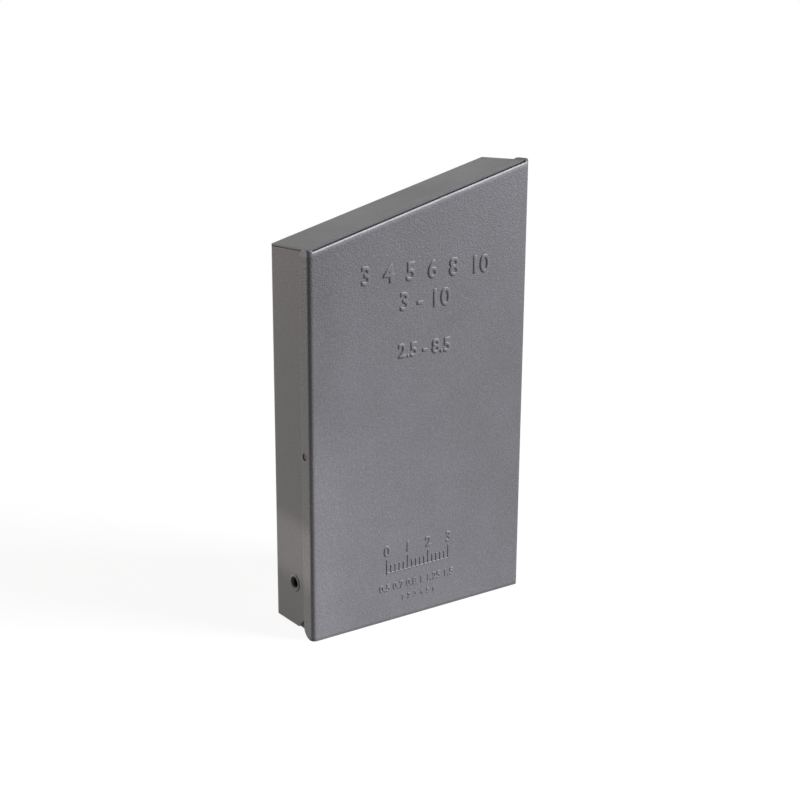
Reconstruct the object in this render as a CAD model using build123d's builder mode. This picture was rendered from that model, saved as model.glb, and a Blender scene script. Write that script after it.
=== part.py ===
"""Pocket index for taps and their drills: a sheet-steel case, a cover that swings on two
hollow rivets, a front leaf welded to the cover and a rear leaf that the cover draws out.

Millimetres. Front faces -Y, +X is the viewer's right, +Z is up. The origin lies on the
bench, under the middle of the closed index. All pieces are drawn with the index closed.
"""
from build123d import *
from math import atan, cos, degrees, radians, sin, sqrt
import os

os.makedirs("parts", exist_ok=True)

# Cover, seen from the front
cover_width = 101.6
cover_height = 176.0        # bottom edge to the high right corner
cover_rise = 28.2           # how much lower the left corner is
sheet = 0.7                 # all bent pieces
bend_radius = 1.8           # outside of each bend

# Cover flanges, which lap outside the case walls
left_flange_depth = 6.3     # from the cover's face
right_flange_depth = 10.8
flange_corner = 4.4         # round ends of the flanges
flange_crown = 1.3          # top of the flange above the panel's edge beside it
flange_gap = 0.8            # flange to case wall
cover_gap = 1.1             # back of the cover to the front edges of the case

# Case
case_depth = 27.6
case_lift = 1.6             # case bottom above the cover's bottom edge
case_top_step = 0.7         # front edge of the case top above the cover's top edge
case_top_fall = 0.7         # how much lower the case top is at the back
seam_gap = 0.3              # wall tops to the top plate that lies over them

# Hinge
pivot_before_middle = 0.6   # ahead of the middle of the case walls
pivot_up = 17.2             # above the case bottom
open_angle = 45.0           # cover
leaf_ratio = 0.5            # rear leaf angle over cover angle
swing_gap = 0.4             # case walls to the swinging cover
play = 0.05                 # running clearance at each turning face
rivet_bore = 3.6
rivet_wall = 0.7
rivet_mouth = 5.0           # flared outer end of the bore
rivet_mouth_depth = 0.9
rivet_head = 7.0
rivet_head_thickness = 0.35
rivet_head_rim = 0.6        # width of the sloping edge of the head
washer_diameter = 10.0
washer_thickness = 0.5
ear_radius = 6.5

# Drive pin of the rear leaf
pin_radius_out = 28.0       # from the hinge axis
pin_rest_angle = 12.0       # behind the vertical, index closed
pin_diameter = 3.0
pin_past_slot = 0.4         # inner end of the pin beyond the rear ear
pin_end_gap = 0.1           # end of the pin, peened flush, inside the front ear's face
pin_land = 3.0              # metal of the front ear round the pin
slot_gap = 0.1
slot_land = 2.2             # metal of the rear ear round the slot

# Catch: a dimple pressed outwards in each case wall, under a hole in the flange
catch_height = 72.2         # above the cover's bottom edge
catch_back = 4.2            # behind the cover's face
catch_hole = 3.0
dimple_diameter = 3.0
dimple_crown = 1.4          # flat end of the dimple
dimple_height = 0.6

# Leaves
first_station_in = 5.5       # from the end of the racks to the smallest tool
last_station_in = 7.0        # and to the largest
leaf_gap = 1.0              # between the front and the rear racks
front_rack_share = 0.53      # of the depth that the two leaves divide
rear_leaf_back_gap = 1.0    # rear leaf to the case's back panel
floor_drop = 3.0            # floors below the hinge axis
floor_end_gap = 0.5         # ends of the floors to the rivets
floor_weld_lip = 5.0
floor_edge_lip = 1.8
floor_edge_gap = 1.8        # front floor stops short of the racks' open edge
rack_lip = 5.0
rack_end_gap = 0.1          # ends of the racks to the bends of their frame
hole_gap = 0.2              # on the diameter of a shank
front_lower_rack_up = 17.0  # above the hinge axis
front_upper_rack_up = 52.0  # at the middle of the width
rear_lower_rack_up = 14.0
rear_upper_rack_up = 68.0
frame_above_rack = 1.6
front_frame_drop = 0.6      # lower edge of the front leaf frame below the case bottom
front_ear_foot = 11.0       # depth of its ears there
rear_spine_drop = 3.9
stop_gap = 0.15             # heel of the rear leaf to the back panel, leaf out
stop_drop = 4.5             # the heel's height below the axis, leaf out

tap_shanks = [3.15, 4.0, 5.0, 6.3, 8.0, 10.0]       # metric taps 3, 4, 5, 6, 8 and 10
drill_shanks = [2.5, 3.3, 4.2, 5.0, 6.8, 8.5]       # their tapping drills

# Places worked out from the sizes
half_width = cover_width / 2
overall_depth = sheet + cover_gap + case_depth
y_face = -overall_depth / 2
y_cover_back = y_face + sheet
y_case_front = y_cover_back + cover_gap
y_case_back = y_case_front + case_depth
case_half = half_width - sheet - flange_gap
case_inside = case_half - sheet
slope = cover_rise / cover_width
slope_angle = degrees(atan(slope))
z_middle_top = cover_height - cover_rise / 2
pivot_back = case_depth / 2 - pivot_before_middle
y_pivot = y_case_front + pivot_back
z_pivot = case_lift + pivot_up

outer_washer_x = case_inside - play
front_ear_x = outer_washer_x - washer_thickness - play
middle_washer_x = front_ear_x - sheet - play
rear_ear_x = middle_washer_x - washer_thickness - play
retaining_washer_x = rear_ear_x - sheet - play
rivet_rim_x = retaining_washer_x - washer_thickness
rivet_outside = rivet_bore + 2 * rivet_wall
turning_hole = rivet_outside + 2 * play

y_front_spine = y_cover_back + sheet
y_rear_back = y_case_back - sheet - rear_leaf_back_gap
y_rear_spine = y_rear_back - sheet
rack_room = y_rear_spine - y_front_spine - leaf_gap
y_front_racks = y_front_spine + rack_room * front_rack_share
y_rear_racks = y_front_racks + leaf_gap
z_floor = z_pivot - floor_drop

leaf_angle = open_angle * leaf_ratio
slip_angle = open_angle - leaf_angle
front_half = front_ear_x - bend_radius - rack_end_gap
rear_half = rear_ear_x - bend_radius - rack_end_gap
floor_half = rivet_rim_x - rivet_head_thickness - floor_end_gap
first_station = first_station_in - rear_half
last_station = rear_half - last_station_in
station_step = (last_station - first_station) / (len(tap_shanks) - 1)
station_x = [first_station + i * station_step for i in range(len(tap_shanks))]


def top_of_cover(x):
    return z_middle_top + slope * x


def about_pivot(radius, angle):
    """Point in the YZ plane at an angle behind the vertical through the hinge."""
    a = radians(angle)
    return (y_pivot + radius * sin(a), z_pivot + radius * cos(a))


def save(part, name):
    part.label = name
    export_step(part, "parts/" + name + ".step")


def case_block(half, y_front, y_back, z_low, below_top, radius):
    """Solid up to the case's slanted top plane, or below it, rounded along its back edges."""
    with BuildPart() as block:
        with BuildSketch(Plane.XY.offset(z_low)):
            with Locations((0, y_back)):
                Rectangle(2 * half, y_back - y_front, align=(Align.CENTER, Align.MAX))
        extrude(amount=2 * cover_height)
        split(bisect_by=case_top.offset(-below_top), keep=Keep.BOTTOM)
        back_edges = block.faces().sort_by(Axis.Y)[-1].edges()
        fillet(back_edges.sort_by(Axis.Z)[1:], radius=radius)
    return block.part


# Case shell: back panel, two walls and a slanted top from one sheet, open in front and below
case_top = Plane(
    origin=(0, y_case_front, z_middle_top + case_top_step),
    x_dir=(1, 0, slope),
    z_dir=(-slope, case_top_fall / case_depth, 1),
)
outside = case_block(case_half, y_case_front, y_case_back, case_lift, 0, bend_radius)
inside = case_block(case_inside, y_case_front - 1, y_case_back - sheet, case_lift - 1,
                    sheet, bend_radius - sheet)
with BuildPart() as case_shell:
    add(outside)
    add(inside, mode=Mode.SUBTRACT)
    # The seam under the ends of the top plate, from the front to the bend
    with Locations(case_top.offset(-sheet)):
        Box(2 * cover_width, case_depth - bend_radius, seam_gap,
            align=(Align.CENTER, Align.MIN, Align.MAX), mode=Mode.SUBTRACT)
    # Front bottom corners of the walls, cut back to the path of the cover
    swing = pivot_back + cover_gap - swing_gap
    swing_start = z_pivot - sqrt(max(swing ** 2 - pivot_back ** 2, 0.01))
    turn = radians(open_angle)
    tangent = (y_pivot - swing * cos(turn), z_pivot - swing * sin(turn))
    reach = (tangent[1] - case_lift + 1) / cos(turn)
    foot = (tangent[0] + reach * sin(turn), tangent[1] - reach * cos(turn))
    start_angle = atan((z_pivot - swing_start) / pivot_back)
    half_turn = (start_angle + turn) / 2
    middle = (y_pivot - swing * cos(half_turn), z_pivot - swing * sin(half_turn))
    with BuildSketch(Plane.YZ):
        with BuildLine():
            ThreePointArc((y_case_front, swing_start), middle, tangent)
            Line(tangent, foot)
            Line(foot, (y_face - 1, foot[1]))
            Line((y_face - 1, foot[1]), (y_face - 1, swing_start))
            Line((y_face - 1, swing_start), (y_case_front, swing_start))
        make_face()
    extrude(amount=cover_width, both=True, mode=Mode.SUBTRACT)
    # Rivet holes through both walls
    with BuildSketch(Plane.YZ):
        with Locations((y_pivot, z_pivot)):
            Circle(rivet_outside / 2)
    extrude(amount=cover_width, both=True, mode=Mode.SUBTRACT)
    # Catch dimples, pressed outwards
    for side in (-1, 1):
        wall_inside = Plane(
            origin=(side * case_inside, y_face + catch_back, catch_height), z_dir=(side, 0, 0)
        )
        with Locations(wall_inside.offset(sheet)):
            Cone(dimple_diameter / 2, dimple_crown / 2, dimple_height,
                 align=(Align.CENTER, Align.CENTER, Align.MIN))
        with Locations(wall_inside):
            Cone(dimple_diameter / 2, dimple_crown / 2, dimple_height,
                 align=(Align.CENTER, Align.CENTER, Align.MIN), mode=Mode.SUBTRACT)
save(case_shell.part, "case_shell")

# Cover: front panel with a flange bent back down each side
with BuildPart() as cover:
    deepest = max(left_flange_depth, right_flange_depth)
    blank_top = cover_height + flange_crown + 1
    panel_half = half_width - bend_radius
    with BuildSketch(Plane.XY) as channel:
        with Locations((0, y_face)):
            Rectangle(cover_width, deepest, align=(Align.CENTER, Align.MIN))
        fillet(channel.vertices().group_by(Axis.Y)[0], radius=bend_radius)
        with BuildSketch(Plane.XY, mode=Mode.SUBTRACT) as between:
            with Locations((0, y_cover_back)):
                Rectangle(cover_width - 2 * sheet, deepest, align=(Align.CENTER, Align.MIN))
            fillet(between.vertices().group_by(Axis.Y)[0], radius=bend_radius - sheet)
    extrude(amount=blank_top)
    # The slanted top edge of the panel between the bends
    with BuildSketch(Plane.XZ.offset(overall_depth)):
        with BuildLine():
            Polyline(
                (-panel_half, top_of_cover(-panel_half)),
                (panel_half, top_of_cover(panel_half)),
                (panel_half, blank_top + 1),
                (-panel_half, blank_top + 1),
                close=True,
            )
        make_face()
    extrude(amount=-2 * overall_depth, mode=Mode.SUBTRACT)
    # Each flange has round ends, and its top stands a little above the panel's edge
    for side, depth in ((-1, left_flange_depth), (1, right_flange_depth)):
        edge_top = top_of_cover(side * panel_half)
        with BuildSketch(Plane.YZ.offset(side * half_width)):
            with Locations((0, cover_height / 2)):
                Rectangle(3 * overall_depth, 2 * cover_height)
            with BuildSketch(Plane.YZ.offset(side * half_width), mode=Mode.SUBTRACT) as outline:
                with BuildLine():
                    Polyline(
                        (y_face - 1, 0),
                        (y_face + depth, 0),
                        (y_face + depth, edge_top + flange_crown),
                        (y_face + bend_radius, edge_top + flange_crown),
                        (y_face, edge_top),
                        (y_face - 1, edge_top),
                        close=True,
                    )
                make_face()
                fillet(outline.vertices().group_by(Axis.X)[-1], radius=flange_corner)
        extrude(amount=-side * bend_radius, mode=Mode.SUBTRACT)
    # Catch holes through both flanges
    with BuildSketch(Plane.YZ):
        with Locations((y_face + catch_back, catch_height)):
            Circle(catch_hole / 2)
    extrude(amount=cover_width, both=True, mode=Mode.SUBTRACT)
save(cover.part, "cover")


def bent_frame(y_spine_out, y_open, half, z_low, z_high):
    """Channel seen from above: a spine at y_spine_out with an ear bent from each side."""
    depth = abs(y_open - y_spine_out)
    inward = 1 if y_open > y_spine_out else -1
    y_mid = (y_spine_out + y_open) / 2
    with BuildPart() as frame:
        with BuildSketch(Plane.XY.offset(z_low)) as outer:
            with Locations((0, y_mid)):
                Rectangle(2 * half, depth)
            spine_end = 0 if inward == 1 else -1
            fillet(outer.vertices().group_by(Axis.Y)[spine_end], radius=bend_radius)
            with BuildSketch(Plane.XY.offset(z_low), mode=Mode.SUBTRACT) as inner:
                with Locations((0, y_mid + inward * sheet)):
                    Rectangle(2 * (half - sheet), depth)
                fillet(inner.vertices().group_by(Axis.Y)[spine_end], radius=bend_radius - sheet)
        extrude(amount=z_high - z_low)
    return frame.part


def slant_above(level):
    """Everything above the slanted line that passes level over the middle of the width."""
    reach = 2 * half_width
    with BuildPart() as cutter:
        with BuildSketch(Plane.XZ.offset(-2 * overall_depth)):
            with BuildLine():
                Polyline(
                    (-reach, level - slope * reach),
                    (reach, level + slope * reach),
                    (reach, 3 * cover_height),
                    (-reach, 3 * cover_height),
                    close=True,
                )
            make_face()
        extrude(amount=4 * overall_depth)
    return cutter.part


# Front leaf frame: spine on the back of the cover, ears on the hinge
front_top = z_pivot + front_upper_rack_up + frame_above_rack
pin_y, pin_z = about_pivot(pin_radius_out, pin_rest_angle)
front_low = case_lift - front_frame_drop
with BuildPart() as front_leaf_frame:
    add(bent_frame(y_cover_back, y_case_back, front_ear_x, front_low, cover_height))
    with BuildSketch(Plane.YZ) as front_ear:
        with BuildLine():
            Polyline(
                (y_cover_back, front_low),
                (y_cover_back + front_ear_foot, front_low),
                (y_pivot, z_pivot - ear_radius),
                (y_pivot, z_pivot + ear_radius),
                (y_front_racks, pin_z - pin_radius_out / 2),
                (y_front_racks, cover_height),
                (y_cover_back, cover_height),
                close=True,
            )
        make_face()
        with BuildSketch(Plane.YZ) as arm:
            with Locations((y_pivot, z_pivot)):
                Circle(ear_radius)
            with Locations((pin_y, pin_z)):
                Circle(pin_land)
            make_hull()
    extrude(amount=cover_width, both=True, mode=Mode.INTERSECT)
    add(slant_above(front_top), mode=Mode.SUBTRACT)
    with BuildSketch(Plane.YZ):
        with Locations((y_pivot, z_pivot)):
            Circle(turning_hole / 2)
        with Locations((pin_y, pin_z)):
            Circle(pin_diameter / 2)
    extrude(amount=cover_width, both=True, mode=Mode.SUBTRACT)
save(front_leaf_frame.part, "front_leaf_frame")

# Rear leaf frame: spine at the back, ears with the slots of the drive pins
rear_top = z_pivot + rear_upper_rack_up + frame_above_rack
slip = radians(leaf_angle)
heel_back = y_case_back - sheet - stop_gap - y_pivot
heel = (
    y_pivot + heel_back * cos(slip) - stop_drop * sin(slip),
    z_pivot - heel_back * sin(slip) - stop_drop * cos(slip),
)
slot_width = pin_diameter + 2 * slot_gap
slot_path = ThreePointArc(
    about_pivot(pin_radius_out, pin_rest_angle),
    about_pivot(pin_radius_out, pin_rest_angle - slip_angle / 2),
    about_pivot(pin_radius_out, pin_rest_angle - slip_angle),
)
with BuildPart() as rear_leaf_frame:
    add(bent_frame(y_rear_back, y_case_front, rear_ear_x, z_pivot - pivot_up, cover_height))
    with BuildSketch(Plane.YZ) as rear_ear:
        with BuildLine():
            Polyline(
                (y_rear_back, z_pivot - rear_spine_drop),
                (y_rear_back, cover_height),
                (y_rear_racks, cover_height),
                (y_rear_racks, z_pivot),
                (y_rear_spine, z_pivot - rear_spine_drop),
                close=True,
            )
        make_face()
        with BuildLine():
            Polyline(
                (y_rear_spine, z_pivot),
                (y_rear_spine, z_pivot - rear_spine_drop),
                heel,
                (y_pivot, z_pivot - ear_radius),
                (y_pivot, z_pivot),
                close=True,
            )
        make_face()
        with Locations((y_pivot, z_pivot)):
            Circle(ear_radius)
        SlotArc(slot_path, slot_width + 2 * slot_land)
        SlotArc(slot_path, slot_width, mode=Mode.SUBTRACT)
        with Locations((y_pivot, z_pivot)):
            Circle(turning_hole / 2, mode=Mode.SUBTRACT)
    extrude(amount=cover_width, both=True, mode=Mode.INTERSECT)
    # The spine ends above the heels
    with Locations((0, y_rear_back, z_pivot - rear_spine_drop)):
        Box(2 * (rear_ear_x - sheet), 4 * sheet, pivot_up,
            align=(Align.CENTER, Align.CENTER, Align.MAX), mode=Mode.SUBTRACT)
    add(slant_above(rear_top), mode=Mode.SUBTRACT)
save(rear_leaf_frame.part, "rear_leaf_frame")


def rack(y_low, y_high, z_web, angle, half, shanks):
    """Folded channel with its lips down; z_web is the web's top over the middle."""
    along = (cos(radians(angle)), 0, sin(radians(angle)))
    section = Plane(origin=(0, 0, z_web), x_dir=(0, 1, 0), z_dir=along)
    down = -1 if section.y_dir.Z > 0 else 1
    with BuildPart() as channel:
        with BuildSketch(section) as fold:
            with BuildLine():
                Polyline(
                    (y_low, 0),
                    (y_high, 0),
                    (y_high, down * rack_lip),
                    (y_low, down * rack_lip),
                    close=True,
                )
            make_face()
            with BuildLine():
                Polyline(
                    (y_low + sheet, down * sheet),
                    (y_high - sheet, down * sheet),
                    (y_high - sheet, down * (rack_lip + 1)),
                    (y_low + sheet, down * (rack_lip + 1)),
                    close=True,
                )
            make_face(mode=Mode.SUBTRACT)
        extrude(amount=cover_width, both=True)
        top_edges = channel.edges().filter_by(lambda e: abs(e.length - 2 * cover_width) < 0.01)
        outer = [e for e in top_edges if abs(section.to_local_coords(e.center()).Y) < 0.01]
        fillet(outer, radius=sheet)
        with Locations((0, (y_low + y_high) / 2, z_web)):
            Box(2 * half, 2 * overall_depth, cover_height, mode=Mode.INTERSECT)
        for x, shank in zip(station_x, shanks):
            with Locations((x, (y_low + y_high) / 2, z_web + x * along[2] / along[0])):
                Cylinder((shank + hole_gap) / 2, 2 * rack_lip, mode=Mode.SUBTRACT)
    return channel.part


front_upper_rack = rack(y_front_spine, y_front_racks, z_pivot + front_upper_rack_up,
                        slope_angle, front_half, tap_shanks)
save(front_upper_rack, "front_upper_rack")
front_lower_rack = rack(y_front_spine, y_front_racks, z_pivot + front_lower_rack_up,
                        0, front_half, tap_shanks)
save(front_lower_rack, "front_lower_rack")
rear_upper_rack = rack(y_rear_racks, y_rear_spine, z_pivot + rear_upper_rack_up,
                       slope_angle, rear_half, drill_shanks)
save(rear_upper_rack, "rear_upper_rack")
rear_lower_rack = rack(y_rear_racks, y_rear_spine, z_pivot + rear_lower_rack_up,
                       0, rear_half, drill_shanks)
save(rear_lower_rack, "rear_lower_rack")


def floor(y_weld, y_edge):
    """Folded plate under the tools: a lip up at the spine and a low one at the open edge."""
    inward = 1 if y_edge > y_weld else -1
    with BuildPart() as plate:
        with BuildSketch(Plane.YZ):
            with BuildLine():
                Polyline(
                    (y_weld, z_floor + floor_weld_lip),
                    (y_weld, z_floor - sheet),
                    (y_edge, z_floor - sheet),
                    (y_edge, z_floor + floor_edge_lip),
                    (y_edge - inward * sheet, z_floor + floor_edge_lip),
                    (y_edge - inward * sheet, z_floor),
                    (y_weld + inward * sheet, z_floor),
                    (y_weld + inward * sheet, z_floor + floor_weld_lip),
                    close=True,
                )
            make_face()
        extrude(amount=floor_half, both=True)
        low_edges = plate.faces().sort_by(Axis.Z)[0].edges()
        fillet(low_edges.filter_by(Axis.X), radius=sheet)
    return plate.part


front_floor = floor(y_front_spine, y_front_racks - floor_edge_gap)
save(front_floor, "front_floor")
rear_floor = floor(y_rear_spine, y_rear_racks)
save(rear_floor, "rear_floor")


def hinge_plane(side, x):
    """Plane across the hinge axis at distance x from the middle, looking inwards."""
    return Plane(origin=(side * x, y_pivot, z_pivot), x_dir=(0, 1, 0), z_dir=(-side, 0, 0))


def washer(side, x, name):
    with BuildPart() as ring:
        with BuildSketch(hinge_plane(side, x)):
            Circle(washer_diameter / 2)
            Circle(turning_hole / 2, mode=Mode.SUBTRACT)
        extrude(amount=washer_thickness)
    save(ring.part, name)


for side, hand in ((-1, "left"), (1, "right")):
    washer(side, outer_washer_x, hand + "_outer_washer")
    washer(side, middle_washer_x, hand + "_middle_washer")
    washer(side, retaining_washer_x, hand + "_retaining_washer")

    # Hollow rivet: low head with a flared mouth outside the wall, barrel, rolled rim inside
    rivet_section = Plane(
        origin=(0, y_pivot, z_pivot), x_dir=(side, 0, 0), z_dir=(0, -side, 0)
    )
    head_face = case_half + rivet_head_thickness
    with BuildPart() as rivet:
        with BuildSketch(rivet_section):
            with BuildLine():
                Polyline(
                    (rivet_rim_x - rivet_head_thickness, rivet_bore / 2),
                    (head_face - rivet_mouth_depth, rivet_bore / 2),
                    (head_face, rivet_mouth / 2),
                    (head_face, rivet_head / 2 - rivet_head_rim),
                    (case_half, rivet_head / 2),
                    (case_half, rivet_outside / 2),
                    (rivet_rim_x, rivet_outside / 2),
                    (rivet_rim_x, rivet_head / 2),
                    (rivet_rim_x - rivet_head_thickness, rivet_head / 2),
                    close=True,
                )
            make_face()
        revolve(axis=Axis(rivet_section.origin, rivet_section.x_dir))
    save(rivet.part, hand + "_pivot_rivet")

    # Drive pin: peened flush in the front ear, it reaches through the slot of the rear ear
    pin_plane = Plane(origin=(side * front_ear_x, pin_y, pin_z), x_dir=(0, 1, 0), z_dir=(-side, 0, 0))
    pin_length = front_ear_x - retaining_washer_x + pin_past_slot
    with BuildPart() as pin:
        with BuildSketch(pin_plane.offset(pin_end_gap)):
            Circle(pin_diameter / 2)
        extrude(amount=pin_length - pin_end_gap)
    save(pin.part, hand + "_drive_pin")
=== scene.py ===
"""Looks of the tap and drill index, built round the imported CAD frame. Metres, front faces -Y."""

import math

import bpy
from mathutils import Matrix, Vector


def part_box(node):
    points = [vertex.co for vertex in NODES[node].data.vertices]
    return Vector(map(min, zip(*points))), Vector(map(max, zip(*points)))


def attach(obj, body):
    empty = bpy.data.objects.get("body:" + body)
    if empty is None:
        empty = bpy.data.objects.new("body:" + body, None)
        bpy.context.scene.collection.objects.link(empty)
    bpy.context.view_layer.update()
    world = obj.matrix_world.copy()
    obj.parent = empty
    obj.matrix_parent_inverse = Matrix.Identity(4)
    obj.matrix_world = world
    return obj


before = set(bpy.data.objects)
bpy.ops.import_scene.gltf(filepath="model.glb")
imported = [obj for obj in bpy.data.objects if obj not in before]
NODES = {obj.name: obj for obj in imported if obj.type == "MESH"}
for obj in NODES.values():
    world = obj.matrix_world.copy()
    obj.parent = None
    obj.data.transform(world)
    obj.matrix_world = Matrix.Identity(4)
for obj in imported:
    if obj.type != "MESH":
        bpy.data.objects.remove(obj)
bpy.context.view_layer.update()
MM = 0.001

# Camera, from the fit of the photograph's edges to the CAD sizes
CAMERA_LENS = 60.484
CAMERA_SENSOR = 36.0
CAMERA_PLACE = (-0.29873, -0.41427, 0.21824)
CAMERA_FORWARD = (0.565411, 0.784778, -0.253838)
CAMERA_ROLL = math.radians(0.33)

# Places on the CAD pieces
FACE_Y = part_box("cover")[0].y
SLOPE = 28.2 / 101.6
COVER_TOP = 161.9 * MM          # top edge of the cover's panel over the middle of its width
PANEL_HALF = 49.0 * MM          # half the width of the panel between its bends
PIVOT_Y, PIVOT_Z = 0.3 * MM, 18.8 * MM      # axis of the hinge
BORE = 2.35 * MM                # radius inside the hollow rivets
STATION_X = [x * MM for x in (-39.3, -23.88, -8.46, 6.96, 22.38, 37.8)]
TAP_SIZES = [3, 4, 5, 6, 8, 10]
TAP_SHANKS = [3.15, 4.0, 5.0, 6.3, 8.0, 10.0]
DRILL_SIZES = [2.5, 3.3, 4.2, 5.0, 6.8, 8.5]
EAR_INSIDE, EAR_OUTSIDE = 47.35 * MM, 47.95 * MM    # within the ears of the front leaf
FOOT_OUTLINE = [(-3.4, 1.05), (-0.7, 1.05), (-0.25, 1.15), (0.1, 1.5), (0.25, 2.0),
                (0.3, 12.2), (-0.1, 12.2)]          # rear corner of an ear's foot, (y, z) in mm

# Painted light and shade in the paint's tone. A row of four is a start, an end and the tone at
# each; a pair runs from 0 to 1
CASE_TONE = (0.0, 170 * MM, 1.09, 0.94)             # painted light up the case and the leaves, paler low and darker high
COVER_LEAN = 0.65               # how much the cover's tone changes with x, beside 1 with z
COVER_TONE = (-15 * MM, 145 * MM, 1.18, 0.905)      # painted light, paler at the lower left and darker to the upper right
COVER_CORNERS = 18.0            # painted light, paler towards the lower left and upper right corners
COVER_MIDDLE = 80 * MM
# painted shade along the cover's bottom edge
LOW_EDGE = (1.3 * MM, 0.8 * MM, 1.0, 0.76)
TOP_EDGE = (2.0 * MM, 0.7 * MM, 1.0, 1.5)           # painted highlight, paler just below the top edge, by the distance below it
STRIP_IN = (-31 * MM, -46 * MM)                     # strip beside the left bend, with painted shade high up and painted light low down
STRIP_TONE = (95 * MM, 65 * MM, -0.09, 0.10)
BEFORE_FLANGES = (FACE_Y + 1.6 * MM, FACE_Y + 0.9 * MM)
LEFT_BEND = (-PANEL_HALF - 0.6 * MM, -PANEL_HALF - 1.1 * MM)
RIGHT_BEND = (PANEL_HALF, PANEL_HALF + 0.7 * MM)
# painted shade along the left and right bends
LEFT_BEND_TONE, RIGHT_BEND_TONE = 0.68, 0.70
BAND_TOP = (51 * MM, 37 * MM)                       # painted light, a paler band above the left rivet
BAND_FOOT = (14 * MM, 29 * MM)
BAND_SIDE = (-PANEL_HALF + 0.1 * MM, -PANEL_HALF - 0.2 * MM)
BEHIND_FACE = (FACE_Y + 0.9 * MM, FACE_Y + 1.6 * MM)
BAND_TONE = 1.55

# Painted highlights and painted shade
HIGHLIGHT_DEPTH = 0.55 * MM          # painted highlight along the top edge of the cover
HIGHLIGHT_FADE = 0.35 * MM
HIGHLIGHT_WANDER = 0.5 * MM          # how far its lower limit wanders
HIGHLIGHT_FRONT = (FACE_Y + 1.0 * MM, FACE_Y + 0.8 * MM)
HIGHLIGHT_SIDES = (PANEL_HALF + 0.4 * MM, PANEL_HALF)
UPPER_HIGHLIGHT = (0.25, 0.8, 0.0, 0.8)  # painted highlight on the raised figures, by how far a side looks up
# painted shade inside the hollow rivets, by the distance from the bore's axis
BORE_SHADE = (BORE + 0.25 * MM, BORE - 0.1 * MM, 0.0, 0.93)
BORE_SHADE_HANG = 0.12               # how much farther out it starts on the upper side

# Grain of the paint, finer and rougher towards the top of the index
GRAIN_TOP = (90 * MM, 150 * MM)
GRAIN_DEPTH = 0.16 * MM
GRAIN_WARP = 0.0012

# Floor and surroundings
FLOOR_GLOW = 0.90       # white that the camera sees of the floor by the object, without its light
FLOOR_SHADE = 0.20      # share of the light on it there, so that the shadow shows
SHADE_RANGE = (0.16, 0.50)      # where the shadow starts to fade, and where the floor is white
FLOOR_BOUNCE = 0.52     # what the floor sends back to the object
FLOOR_HALF = 4.0
SKY = 0.03              # light of the surroundings on the object
LAMP_TARGET = Vector((0, 0, 80 * MM))

# Figures
TEXT_SCALE = 100.0      # letters are drawn a hundred times up, then brought to size
CAP_SHARE = 0.73        # height of a figure over the size of its font
ON_FACE = Matrix.Rotation(math.radians(90), 4, "X")


def blank_tree(owner):
    """The emptied node tree of a material or a world."""
    owner.use_nodes = True
    owner.node_tree.nodes.clear()
    return owner.node_tree


def show(name, data):
    """A new object in the scene."""
    piece = bpy.data.objects.new(name, data)
    bpy.context.scene.collection.objects.link(piece)
    return piece


def node_tree(name):
    """A new material, its tree and its main shader."""
    material = bpy.data.materials.new(name)
    tree = blank_tree(material)
    shader = add_node(tree, "ShaderNodeBsdfPrincipled")
    add_node(tree, "ShaderNodeOutputMaterial", {"Surface": shader.outputs["BSDF"]})
    return material, tree, shader


def add_node(tree, kind, inputs=None, **values):
    """A node with its properties set, and each input set to a value or linked to a socket."""
    node = tree.nodes.new(kind)
    for key, value in values.items():
        setattr(node, key, value)
    for key, value in (inputs or {}).items():
        socket = node.inputs[key]
        if isinstance(value, bpy.types.NodeSocket):
            tree.links.new(value, socket)
        else:
            socket.default_value = value
    return node


def ramp(tree, factor, stops):
    """Colour ramp from (position, colour) stops."""
    node = add_node(tree, "ShaderNodeValToRGB", {"Fac": factor})
    elements = node.color_ramp.elements
    while len(elements) > len(stops):
        elements.remove(elements[-1])
    while len(elements) < len(stops):
        elements.new(1.0)
    for element, (position, colour) in zip(elements, stops):
        element.position = position
        element.color = (*colour, 1.0)
    return node.outputs["Color"]


def srgb(*levels):
    """Linear colour of sRGB levels from 0 to 255."""
    out = []
    for level in levels:
        value = level / 255.0
        out.append(value / 12.92 if value <= 0.04045 else ((value + 0.055) / 1.055) ** 2.4)
    return tuple(out)


def blend(tree, kind, factor, a, b):
    """Colour mix of the given kind; a and b are sockets or colours."""
    node = add_node(tree, "ShaderNodeMix", {"Factor": factor}, data_type="RGBA", blend_type=kind)
    for socket, value in ((node.inputs[6], a), (node.inputs[7], b)):
        if isinstance(value, bpy.types.NodeSocket):
            tree.links.new(value, socket)
        else:
            socket.default_value = (*value, 1.0)
    return node.outputs[2]


def arithmetic(tree, operation, a, b):
    return add_node(tree, "ShaderNodeMath", {0: a, 1: b}, operation=operation).outputs[0]


def scaled_sum(tree, value, factor, added):
    """value * factor + added."""
    inputs = {0: value, 1: factor, 2: added}
    return add_node(tree, "ShaderNodeMath", inputs, operation="MULTIPLY_ADD").outputs[0]


def product(tree, *factors):
    """Product of several sockets."""
    out = factors[0]
    for factor in factors[1:]:
        out = arithmetic(tree, "MULTIPLY", out, factor)
    return out


def fade(tree, value, start, end, low=0.0, high=1.0):
    """Smooth step of value: low at start, high at end."""
    inputs = {"Value": value, "From Min": start, "From Max": end, "To Min": low, "To Max": high}
    return add_node(tree, "ShaderNodeMapRange", inputs,
                    interpolation_type="SMOOTHSTEP").outputs["Result"]


def axes(tree, vector):
    """The three parts of a vector."""
    return add_node(tree, "ShaderNodeSeparateXYZ", {0: vector}).outputs


def noise(tree, place, scale, detail):
    """Outputs Fac and Color of a noise."""
    inputs = {"Vector": place, "Scale": scale, "Detail": detail}
    return add_node(tree, "ShaderNodeTexNoise", inputs).outputs


def below_top(tree, x, z):
    """Distance below the top edge of the cover's panel."""
    return arithmetic(tree, "SUBTRACT", scaled_sum(tree, x, SLOPE, COVER_TOP), z)


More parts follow.
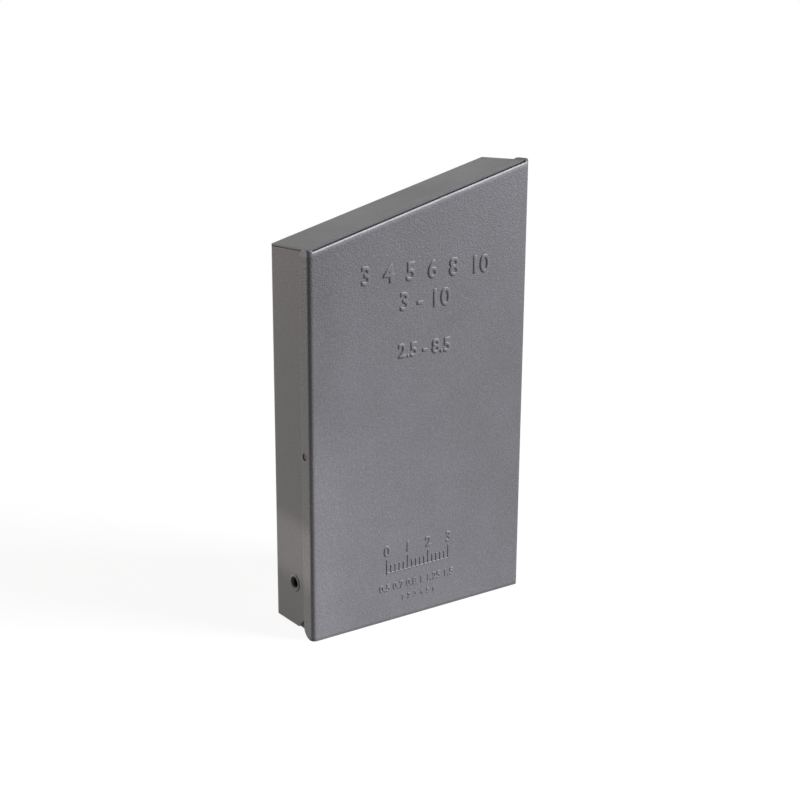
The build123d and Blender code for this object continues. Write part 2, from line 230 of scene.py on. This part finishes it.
def worn_top_edge(tree, place):
    """1 along the sheared top edge of the cover, where a highlight is painted, broken up a little.
    """
    x, y, z = axes(tree, place)
    broken = noise(tree, place, 260.0, 2.0)["Fac"]
    depth = arithmetic(tree, "ADD", below_top(tree, x, z),
                       arithmetic(tree, "MULTIPLY", broken, HIGHLIGHT_WANDER))
    near_edge = fade(tree, depth, HIGHLIGHT_DEPTH + HIGHLIGHT_FADE, HIGHLIGHT_DEPTH)
    on_panel = fade(tree, y, *HIGHLIGHT_FRONT)
    inside = fade(tree, arithmetic(tree, "ABSOLUTE", x, 0.0), *HIGHLIGHT_SIDES)
    return product(tree, near_edge, on_panel, inside)


def worn_upper_sides(tree):
    """1 on sides that look up, where a highlight is painted on the raised figures."""
    normal = add_node(tree, "ShaderNodeTexCoord").outputs["Normal"]
    return fade(tree, axes(tree, normal)["Z"], *UPPER_HIGHLIGHT)


def cover_coat(tree, place):
    """Painted light and shade in the cover's tone: paler at the lower left, darker at three of its
    edges.
    """
    x, y, z = axes(tree, place)
    painted_tone = fade(tree, scaled_sum(tree, x, COVER_LEAN, z), *COVER_TONE)
    above_middle = arithmetic(tree, "SUBTRACT", z, COVER_MIDDLE)
    corners = scaled_sum(tree, product(tree, x, above_middle), COVER_CORNERS, 1.0)
    low_edge = fade(tree, z, *LOW_EDGE)
    top_edge = fade(tree, below_top(tree, x, z), *TOP_EDGE)
    in_front = fade(tree, y, *BEFORE_FLANGES)
    strip = product(tree, fade(tree, x, *STRIP_IN), fade(tree, z, *STRIP_TONE), in_front)
    left_part = arithmetic(tree, "ADD", strip, 1.0)
    left_bend = product(tree, fade(tree, x, *LEFT_BEND), in_front)
    right_bend = product(tree, fade(tree, x, *RIGHT_BEND), in_front)
    left_edge = fade(tree, left_bend, 0.0, 1.0, 1.0, LEFT_BEND_TONE)
    right_edge = fade(tree, right_bend, 0.0, 1.0, 1.0, RIGHT_BEND_TONE)
    return product(tree, painted_tone, corners, left_part, low_edge, top_edge, left_edge, right_edge)


def paler_band(tree, place):
    """How much paler the left wall is in a soft band above the rivet, where light is painted."""
    x, y, z = axes(tree, place)
    band = product(tree, fade(tree, z, *BAND_TOP), fade(tree, z, *BAND_FOOT),
                   fade(tree, x, *BAND_SIDE), fade(tree, y, *BEHIND_FACE))
    return fade(tree, band, 0.0, 1.0, 1.0, BAND_TONE)


def bore_grime(tree, place):
    """1 inside the hollow rivets, where shade is painted: most of all deep in the bore and under
    its upper side.
    """
    _, y, z = axes(tree, place)
    across = arithmetic(tree, "SUBTRACT", y, PIVOT_Y)
    up = arithmetic(tree, "SUBTRACT", z, PIVOT_Z)
    flat = add_node(tree, "ShaderNodeCombineXYZ", {0: across, 1: up}).outputs[0]
    radius = add_node(tree, "ShaderNodeVectorMath", {0: flat}, operation="LENGTH").outputs["Value"]
    shifted = arithmetic(tree, "SUBTRACT", radius, arithmetic(tree, "MULTIPLY", up, BORE_SHADE_HANG))
    return fade(tree, shifted, *BORE_SHADE)


def hammertone(name, low, high, relief, edge_radius, flecked, painted_light=None):
    """Grey hammered paint: a pebbled skin with small pale flecks, softly rounded at its edges, its
    tone carrying painted light and shade.
    """
    material, tree, shader = node_tree(name)
    place = add_node(tree, "ShaderNodeTexCoord").outputs["Object"]
    bent = blend(tree, "ADD", GRAIN_WARP, place, noise(tree, place, 420.0, 1.0)["Color"])
    pebbles = add_node(tree, "ShaderNodeTexVoronoi",
                       {"Vector": bent, "Scale": 1500.0, "Smoothness": 0.5}, feature="SMOOTH_F1")
    fine = noise(tree, place, 2600.0, 2.0)["Fac"]
    patches = noise(tree, place, 55.0, 2.0)["Fac"]
    skin = arithmetic(tree, "ADD", pebbles.outputs["Distance"],
                      arithmetic(tree, "MULTIPLY", fine, 0.7))
    tint = ramp(tree, skin, [(0.35, low), (0.95, high)])
    flecks = add_node(tree, "ShaderNodeTexVoronoi", {"Vector": bent, "Scale": 780.0})
    height = axes(tree, place)["Z"]
    fleck = product(tree, fade(tree, flecks.outputs["Distance"], 0.24, 0.12),
                    fade(tree, height, *GRAIN_TOP, flecked, 1.4 * flecked))
    tint = blend(tree, "MIX", fleck, tint, srgb(176, 175, 178))
    clouds = ramp(tree, patches, [(0.35, (0.97,) * 3), (0.65, (1.03,) * 3)])
    colour = blend(tree, "MULTIPLY", 1.0, tint, clouds)
    # painted light and shade scale the tone from here on
    if painted_light == "top edge":
        painted_tone = cover_coat(tree, place)
    else:
        # painted light: paler low and darker high
        painted_tone = fade(tree, height, *CASE_TONE)
    painted_tone = product(tree, painted_tone, paler_band(tree, place))
    colour = add_node(tree, "ShaderNodeVectorMath", {0: colour, "Scale": painted_tone},
                      operation="SCALE").outputs[0]
    if painted_light == "top edge":
        # painted highlight: pale colour along the cover's top edge
        colour = blend(tree, "MIX", worn_top_edge(tree, place), colour, srgb(228, 226, 224))
    elif painted_light == "bore":
        # painted shade: near black deep in the rivet bores
        colour = blend(tree, "MIX", bore_grime(tree, place), colour, srgb(24, 23, 22))
    elif painted_light == "upper sides":
        # painted highlight: pale colour on the figures' upper sides
        colour = blend(tree, "MIX", worn_upper_sides(tree), colour, srgb(214, 213, 213))
    tree.links.new(colour, shader.inputs["Base Color"])

    tree.links.new(fade(tree, patches, 0.2, 0.8, 0.42, 0.54), shader.inputs["Roughness"])
    rounded = add_node(tree, "ShaderNodeBevel", {"Radius": edge_radius}, samples=6)
    strength = fade(tree, height, *GRAIN_TOP, 0.5 * relief, relief)
    bump = add_node(tree, "ShaderNodeBump", {"Height": skin, "Strength": strength,
                                            "Distance": GRAIN_DEPTH, "Normal": rounded.outputs[0]})
    tree.links.new(bump.outputs["Normal"], shader.inputs["Normal"])
    shader.inputs["Specular IOR Level"].default_value = 0.25
    return material


def plated(name, level):
    """Dull zinc plate with fine random mottling."""
    material, tree, shader = node_tree(name)
    place = add_node(tree, "ShaderNodeTexCoord").outputs["Object"]
    mottle = noise(tree, place, 700.0, 4.0)["Fac"]
    colour = ramp(tree, mottle, [(0.3, srgb(level - 14, level - 15, level - 18)),
                                 (0.7, srgb(level + 14, level + 13, level + 10))])
    tree.links.new(colour, shader.inputs["Base Color"])
    rough = add_node(tree, "ShaderNodeMapRange", {"Value": mottle, "To Min": 0.28, "To Max": 0.45})
    tree.links.new(rough.outputs["Result"], shader.inputs["Roughness"])
    shader.inputs["Metallic"].default_value = 0.9
    return material


def dress(node, material):
    mesh = NODES[node].data
    mesh.materials.clear()
    mesh.materials.append(material)


# Name, darkest and palest colour, relief, rounding of the edges, flecks, painted light
outer_paint = hammertone("hammertone_paint", srgb(122, 121, 122), srgb(132, 131, 132),
                         0.4, 0.35 * MM, 0.12)
cover_paint = hammertone("cover_paint", srgb(119, 118, 119), srgb(135, 134, 135),
                         0.8, 0.35 * MM, 0.32, "top edge")
figure_paint = hammertone("figure_paint", srgb(119, 118, 119), srgb(135, 134, 135),
                          0.5, 0.1 * MM, 0.2, "upper sides")
rivet_paint = hammertone("rivet_paint", srgb(122, 120, 119), srgb(134, 132, 131),
                         0.3, 0.5 * MM, 0.1, "bore")
size_paint = hammertone("size_paint", srgb(168, 167, 165), srgb(182, 181, 179),
                        0.3, 0.05 * MM, 0.1)
leaf_paint = hammertone("leaf_paint", srgb(118, 117, 117), srgb(132, 131, 131),
                        0.5, 0.3 * MM, 0.2)
zinc = plated("zinc_plate", 176)
dress("cover", cover_paint)
dress("case_shell", outer_paint)
for name in NODES:
    if "rivet" in name:
        dress(name, rivet_paint)
    elif "leaf" in name or "rack" in name or "floor" in name:
        dress(name, leaf_paint)
    elif "washer" in name or "pin" in name:
        dress(name, zinc)


def number_mesh(text, cap, relief, spacing=1.0):
    """Raised figures in the XY plane, centred on X, feet on Y = 0, front towards +Z, in metres."""
    font = bpy.data.curves.new("figures", "FONT")
    font.body = text
    font.align_x = "CENTER"
    font.size = TEXT_SCALE * cap / CAP_SHARE
    font.space_character = spacing
    font.extrude = TEXT_SCALE * relief * 0.15
    font.bevel_depth = TEXT_SCALE * relief * 0.85
    font.bevel_resolution = 3
    font.offset = -TEXT_SCALE * relief * 0.30
    font.resolution_u = 4
    draft = show("figures", font)
    bpy.context.view_layer.update()
    mesh = bpy.data.meshes.new_from_object(draft)
    bpy.data.objects.remove(draft)
    mesh.transform(Matrix.Scale(1 / TEXT_SCALE, 4))
    return mesh


def place_piece(name, mesh, matrix, body, material):
    """New piece with its place in its mesh."""
    mesh.transform(matrix)
    mesh.materials.clear()
    mesh.materials.append(material)
    piece = show(name, mesh)
    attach(piece, body)


def place_faces(name, verts, faces, material):
    """New piece of the cover's body from vertices and faces."""
    mesh = bpy.data.meshes.new(name)
    mesh.from_pydata(verts, [], faces)
    mesh.validate()
    mesh.update()
    place_piece(name, mesh, Matrix.Identity(4), "cover_leaf", material)


def face_row(name, text, x, z, cap, spacing=1.0, relief=0.5 * MM):
    """Row of embossed figures on the cover; x is the middle and z the feet, in millimetres."""
    mesh = number_mesh(text, cap * MM, relief, spacing)
    matrix = Matrix.Translation((x * MM, FACE_Y, z * MM)) @ ON_FACE
    place_piece(name, mesh, matrix, "cover_leaf", figure_paint)


def bar(bottom, top, half_width, relief):
    """Vertices and faces of a raised rib from bottom to top (x, z) with sloping sides, in mm."""
    root_level, shoulder, top_narrower = 0.1, 0.6, 0.14
    a, b = Vector(bottom), Vector(top)
    along = (b - a).normalized()
    side = Vector((along.y, -along.x))
    verts = []
    for level, grow in ((root_level, 0.0), (-shoulder * relief, 0.0), (-relief, -top_narrower)):
        w = half_width + grow
        for end, push in ((a, -w), (b, w)):
            for hand in (-1, 1):
                p = end + along * push + side * w * hand
                verts.append((p.x * MM, FACE_Y + level * MM, p.y * MM))
    faces = [(8, 9, 11, 10)]
    for ring in (0, 4):
        for i, j in ((0, 1), (1, 3), (3, 2), (2, 0)):
            faces.append((ring + i, ring + j, ring + 4 + j, ring + 4 + i))
    return verts, faces


def tick_scale(name, x, z, steps, step, tall, short):
    """Raised scale with ticks, in mm: a rib along the bottom and a tick at each step."""
    half_width, relief, group = 0.24, 0.3, 5
    half = steps * step / 2
    ribs = [((x - half, z), (x + half, z))]
    for i in range(steps + 1):
        tick_x = x - half + i * step
        ribs.append(((tick_x, z), (tick_x, z + (tall if i % group == 0 else short))))
    verts, faces = [], []
    for rib in ribs:
        v, f = bar(*rib, half_width, relief)
        faces += [tuple(i + len(verts) for i in face) for face in f]
        verts += v
    place_faces(name, verts, faces, figure_paint)


def face_figures():
    """Plain numbers on the cover: tap sizes, their range, the drills' range, a scale, pitches."""
    face_row("face_tap_sizes", "3  4  5  6  8  10", 1.3, 134.5, 7.0)
    face_row("face_tap_range", "3 - 10", 0.6, 123.4, 7.0, 1.05)
    face_row("face_drill_range", "2.5 - 8.5", 0.6, 105.4, 5.5)
    tick_scale("face_scale", -1.7, 20.0, 15, 2.0, 5.5, 3.2)
    for i, figure in enumerate("0123"):
        face_row("face_scale_" + figure, figure, -16.7 + 10 * i, 27.2, 4.2, relief=0.35 * MM)
    face_row("face_pitches", "0.5 0.7 0.8 1 1.25 1.5", -2.1, 12.6, 2.9, 1.06, 0.26 * MM)
    face_row("face_counts", "1 2 3 4 5 6", -1.3, 7.4, 2.2, 1.25, 0.26 * MM)


def rack_figures(name, node, body, figures, shanks):
    """Raised size numbers on the slanted web of an upper rack, one at the left of each hole."""
    cap, relief, gap, figure_width = 2.6 * MM, 0.16 * MM, 1.0, 1.0
    low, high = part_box(node)
    tilt = Matrix.Rotation(-math.atan(SLOPE), 4, "Y")
    web_middle = high.z - SLOPE * high.x
    middle_y = (low.y + high.y) / 2
    for place, (x, figure, shank) in enumerate(zip(STATION_X, figures, shanks), 1):
        text = str(figure)
        at = x - (shank / 2 + gap + figure_width * len(text)) * MM
        mesh = number_mesh(text, cap, relief)
        matrix = Matrix.Translation((at, middle_y, web_middle + SLOPE * at)) @ tilt
        matrix = matrix @ Matrix.Translation((0, -cap / 2, 0))
        place_piece(f"{name}_{place}", mesh, matrix, body, size_paint)


def ear_foot(name, side):
    """The rear corner of the foot of a front leaf ear, which fills the notch below the wall."""
    outline = [(y * MM, z * MM) for y, z in FOOT_OUTLINE]
    count = len(outline)
    verts = [(side * x, y, z) for x in (EAR_INSIDE, EAR_OUTSIDE) for y, z in outline]
    faces = [tuple(range(count)), tuple(range(2 * count - 1, count - 1, -1))]
    for i in range(count):
        j = (i + 1) % count
        faces.append((i, i + count, j + count, j))
    if side > 0:
        faces = [face[::-1] for face in faces]
    place_faces(name, verts, faces, leaf_paint)


def make_camera():
    data = bpy.data.cameras.new("camera")
    data.lens = CAMERA_LENS
    data.sensor_width = CAMERA_SENSOR
    camera = show("camera", data)
    turn = Vector(CAMERA_FORWARD).to_track_quat("-Z", "Y").to_matrix()
    turn = turn @ Matrix.Rotation(CAMERA_ROLL, 3, "Z")
    camera.matrix_world = Matrix.Translation(CAMERA_PLACE) @ turn.to_4x4()
    bpy.context.scene.camera = camera


def seen_as_background(tree):
    """1 for rays from the camera, a mirror or a glass, which see the background as it is."""
    path = add_node(tree, "ShaderNodeLightPath").outputs
    either = arithmetic(tree, "MAXIMUM", path["Is Camera Ray"], path["Is Glossy Ray"])
    return arithmetic(tree, "MAXIMUM", either, path["Is Transmission Ray"])


def floor_material():
    """White to the camera with a soft shadow, pale grey to the light."""
    material = bpy.data.materials.new("floor")
    tree = blank_tree(material)
    place = add_node(tree, "ShaderNodeTexCoord").outputs["Object"]
    away = add_node(tree, "ShaderNodeVectorMath", {0: place}, operation="LENGTH").outputs["Value"]
    strength = fade(tree, away, *SHADE_RANGE, FLOOR_GLOW, 1.0)
    pale = fade(tree, away, *SHADE_RANGE, FLOOR_SHADE, 0.0)
    glow = add_node(tree, "ShaderNodeEmission", {"Strength": strength}).outputs[0]
    shade = add_node(tree, "ShaderNodeBsdfDiffuse", {"Color": pale}).outputs[0]
    seen = add_node(tree, "ShaderNodeAddShader", {0: glow, 1: shade}).outputs[0]
    grey = (FLOOR_BOUNCE,) * 3 + (1.0,)
    bounce = add_node(tree, "ShaderNodeBsdfDiffuse", {"Color": grey}).outputs[0]
    both = add_node(tree, "ShaderNodeMixShader", {0: seen_as_background(tree), 1: bounce, 2: seen})
    add_node(tree, "ShaderNodeOutputMaterial", {"Surface": both.outputs[0]})
    return material


def make_floor():
    mesh = bpy.data.meshes.new("floor")
    h = FLOOR_HALF
    mesh.from_pydata([(-h, -h, 0), (h, -h, 0), (h, h, 0), (-h, h, 0)], [], [(0, 1, 2, 3)])
    mesh.materials.append(floor_material())
    show("floor", mesh)


def lamp(name, direction, distance, size, power, colour):
    """Soft square lamp, seen from the object in the given direction."""
    data = bpy.data.lights.new(name, "AREA")
    data.shape = "SQUARE"
    data.size = size
    data.energy = power
    data.color = colour
    light = show(name, data)
    away = Vector(direction).normalized()
    light.location = LAMP_TARGET + away * distance
    light.rotation_mode = "QUATERNION"
    light.rotation_quaternion = (-away).to_track_quat("-Z", "Y")


def make_light():
    world = bpy.data.worlds.new("world")
    tree = blank_tree(world)
    strength = add_node(tree, "ShaderNodeMapRange",
                        {"Value": seen_as_background(tree), "To Min": SKY, "To Max": 1.0})
    white = {"Color": (1, 1, 1, 1), "Strength": strength.outputs["Result"]}
    background = add_node(tree, "ShaderNodeBackground", white)
    add_node(tree, "ShaderNodeOutputWorld", {"Surface": background.outputs[0]})
    bpy.context.scene.world = world
    lamp("key", (0.58, -0.64, 0.44), 2.2, 0.85, 47.5, (0.97, 0.975, 1.065))
    lamp("back", (-0.5, 0.75, 0.27), 1.4, 0.6, 8.9, (1.06, 0.96, 0.91))


face_figures()
rack_figures("front_upper_size", "front_upper_rack", "cover_leaf", TAP_SIZES, TAP_SHANKS)
rack_figures("rear_upper_size", "rear_upper_rack", "rear_leaf", DRILL_SIZES, DRILL_SIZES)
ear_foot("front_leaf_foot_left", -1)
ear_foot("front_leaf_foot_right", 1)
make_camera()
make_floor()
make_light()
bpy.context.scene.view_settings.view_transform = "Standard"
